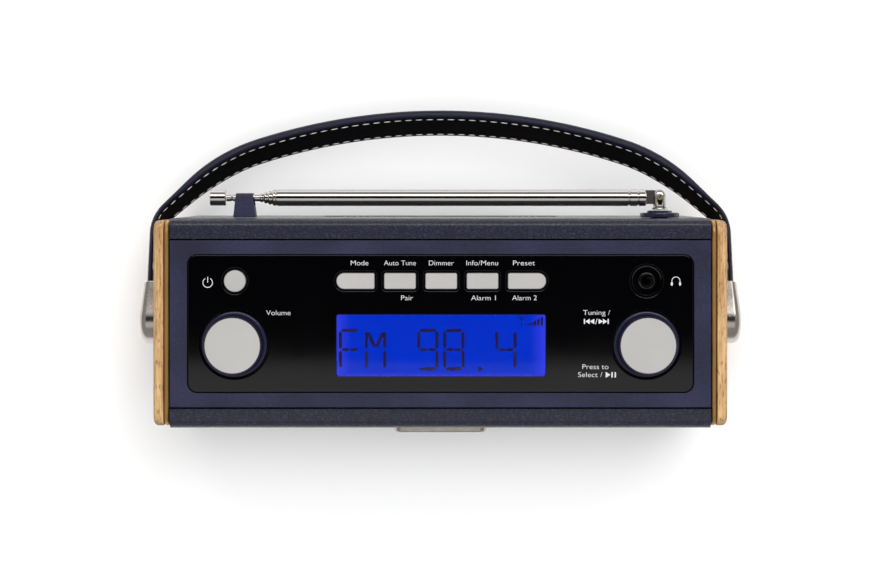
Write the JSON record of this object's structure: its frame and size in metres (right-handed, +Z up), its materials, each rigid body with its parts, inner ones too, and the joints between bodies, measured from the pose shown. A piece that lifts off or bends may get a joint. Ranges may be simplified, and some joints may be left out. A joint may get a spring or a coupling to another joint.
{
  "type": "portable tabletop radio",
  "caption": "Portable tabletop radio with wooden cheeks, a gloss control panel on top, a folding strap handle and a telescopic aerial parked behind it.",
  "frame": {"origin": "on the supporting surface, under the middle of the whole object's box with the handle folded back; the cabinet's own middle is 22.8 mm in front of it (-Y)", "axes": "+X to the right along the cabinet's length, +Y to the rear where the aerial is, +Z up; the grille faces -Y and the control panel faces +Z"},
  "size_m": [0.2686, 0.1451, 0.1348],
  "materials": {
    "cover": "navy leathercloth, fine grain, satin",
    "wood": "oiled light wood, fine pores",
    "brass": "aged brass, satin",
    "rubber": "matte",
    "navy": "satin with fine texture",
    "navy_gloss": "soft gloss",
    "gloss": "high gloss",
    "clear": "clear, glossy",
    "lcd": "backlit blue display",
    "board": "solder resist green",
    "silver": "satin silver paint",
    "steel": "zinc plated",
    "chrome": "polished",
    "dark_metal": "blackened",
    "black": "moulded",
    "grille": "satin navy paint",
    "paper": "treated cone paper",
    "fibreboard": "raw fibreboard",
    "leather": "padded leather, satin, stitched edges",
    "cell": "printed cell wrap, plain"
  },
  "bodies": {
    "cabinet": {"cabinet_sleeve": "cover", "left_cheek": "wood", "right_cheek": "wood", "left_trim": "brass", "right_trim": "brass", "foot_front_left": "rubber", "foot_front_right": "rubber", "foot_rear_left": "rubber", "foot_rear_right": "rubber", "fascia_plate": "navy", "control_panel": "gloss", "display_window": "clear", "lcd_module": "lcd", "control_board": "board", "volume_encoder": "steel", "tuning_encoder": "steel", "headphone_socket": "black", "headphone_nut": "dark_metal", "front_grille": "grille", "grille_badge": "silver", "speaker_baffle": "fibreboard", "left_speaker_basket": "dark_metal", "right_speaker_basket": "dark_metal", "left_speaker_cone": "paper", "right_speaker_cone": "paper", "main_board": "board", "battery_tray": "black", "battery_cell_1": "cell", "battery_cell_2": "cell", "battery_cell_3": "cell", "battery_cell_4": "cell", "dc_inlet": "black", "left_pivot_screw": "steel", "right_pivot_screw": "steel", "aerial_gland": "navy_gloss", "aerial_clip": "navy"},
    "handle": {"handle_strap": "leather", "left_bracket": "chrome", "right_bracket": "chrome"},
    "volume_control": {"volume_knob": "navy_gloss", "volume_knob_cap": "silver"},
    "tuning_push": {"tuning_shaft": "steel"},
    "tuning_control": {"tuning_knob": "navy_gloss", "tuning_knob_cap": "silver"},
    "power_key": {"power_button": "silver"},
    "mode_key": {"mode_button": "silver"},
    "auto_tune_key": {"auto_tune_button": "silver"},
    "dimmer_key": {"dimmer_button": "silver"},
    "info_key": {"info_button": "silver"},
    "preset_key": {"preset_button": "silver"},
    "hatch": {"battery_door": "navy"},
    "catch": {"door_catch": "navy"},
    "aerial_swivel_head": {"aerial_fork": "chrome", "aerial_pivot_screw": "steel"},
    "mast_1": {"aerial_tube_1": "chrome"},
    "mast_2": {"aerial_tube_2": "chrome"},
    "mast_3": {"aerial_tube_3": "chrome"},
    "mast_4": {"aerial_tube_4": "chrome"},
    "mast_tip": {"aerial_rod": "chrome", "aerial_tip": "chrome"}
  },
  "joints": [
    {"name": "handle_swing", "type": "hinge", "parent": "cabinet", "child": "handle", "pos_m": [0, -0.0228, 0.098], "axis": [1, 0, 0], "range_deg": [0, 223]},
    {"name": "volume_turn", "type": "hinge", "parent": "cabinet", "child": "volume_control", "pos_m": [-0.0903, -0.0319, 0.1241], "axis": [0, 0, -1], "continuous": true},
    {"name": "tuning_press", "type": "slide", "parent": "cabinet", "child": "tuning_push", "axis": [0, 0, -1], "range_m": [0, 0.0008], "stiffness_N_per_m": 700},
    {"name": "tuning_turn", "type": "hinge", "parent": "tuning_push", "child": "tuning_control", "pos_m": [0.0903, -0.0319, 0.1241], "axis": [0, 0, -1], "continuous": true},
    {"name": "power_press", "type": "slide", "parent": "cabinet", "child": "power_key", "axis": [0, 0, -1], "range_m": [0, 0.0006], "stiffness_N_per_m": 500},
    {"name": "mode_press", "type": "slide", "parent": "cabinet", "child": "mode_key", "axis": [0, 0, -1], "range_m": [0, 0.0006], "stiffness_N_per_m": 500},
    {"name": "auto_tune_press", "type": "slide", "parent": "cabinet", "child": "auto_tune_key", "axis": [0, 0, -1], "range_m": [0, 0.0006], "stiffness_N_per_m": 500},
    {"name": "dimmer_press", "type": "slide", "parent": "cabinet", "child": "dimmer_key", "axis": [0, 0, -1], "range_m": [0, 0.0006], "stiffness_N_per_m": 500},
    {"name": "info_press", "type": "slide", "parent": "cabinet", "child": "info_key", "axis": [0, 0, -1], "range_m": [0, 0.0006], "stiffness_N_per_m": 500},
    {"name": "preset_press", "type": "slide", "parent": "cabinet", "child": "preset_key", "axis": [0, 0, -1], "range_m": [0, 0.0006], "stiffness_N_per_m": 500},
    {"name": "hatch_swing", "type": "hinge", "parent": "cabinet", "child": "hatch", "pos_m": [0, 0.0222, 0.0092], "axis": [-1, 0, 0], "range_deg": [0, 90]},
    {"name": "catch_slide", "type": "slide", "parent": "hatch", "child": "catch", "axis": [0, 0, -1], "range_m": [0, 0.0015], "stiffness_N_per_m": 300},
    {"name": "aerial_swivel", "type": "hinge", "parent": "cabinet", "child": "aerial_swivel_head", "pos_m": [0.0974, 0.0327, 0.11], "axis": [0, 1, 0], "range_deg": [0, 180]},
    {"name": "aerial_tilt", "type": "hinge", "parent": "aerial_swivel_head", "child": "mast_1", "pos_m": [0.0974, 0.0327, 0.11], "axis": [0, 0, -1], "range_deg": [0, 180]},
    {"name": "extend_1", "type": "slide", "parent": "mast_1", "child": "mast_2", "axis": [-1, 0, 0], "range_m": [0, 0.135]},
    {"name": "extend_2", "type": "slide", "parent": "mast_2", "child": "mast_3", "axis": [-1, 0, 0], "range_m": [0, 0.135]},
    {"name": "extend_3", "type": "slide", "parent": "mast_3", "child": "mast_4", "axis": [-1, 0, 0], "range_m": [0, 0.135]},
    {"name": "extend_4", "type": "slide", "parent": "mast_4", "child": "mast_tip", "axis": [-1, 0, 0], "range_m": [0, 0.125]}
  ]
}
